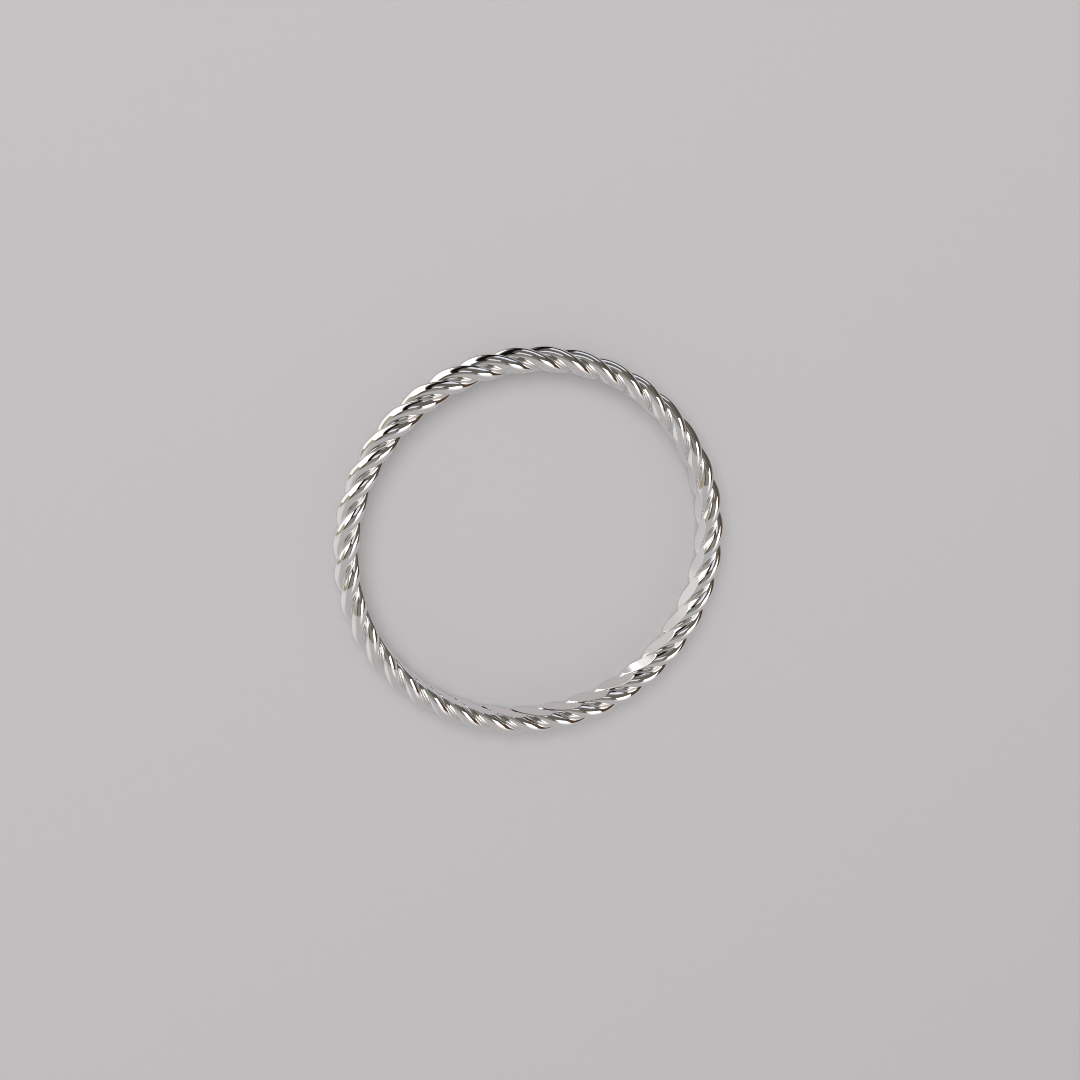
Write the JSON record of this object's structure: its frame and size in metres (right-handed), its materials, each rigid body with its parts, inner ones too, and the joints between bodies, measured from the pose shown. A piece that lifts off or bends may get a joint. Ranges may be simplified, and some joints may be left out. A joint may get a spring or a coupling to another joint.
{
  "type": "rope twist ring",
  "caption": "Twisted rope finger ring: metal strands laid together as one closed band, bored smooth inside to sit on a finger.",
  "frame": {"origin": "on the finger axis, in the plane that the ring lies on", "axes": "+Z along the finger axis, up from the surface that the ring lies on; +X and +Y across the ring"},
  "size_m": [0.0192, 0.0192, 0.002],
  "materials": {
    "silver": "high polish"
  },
  "bodies": {
    "root": {"rope_band": "silver"}
  },
  "joints": []
}
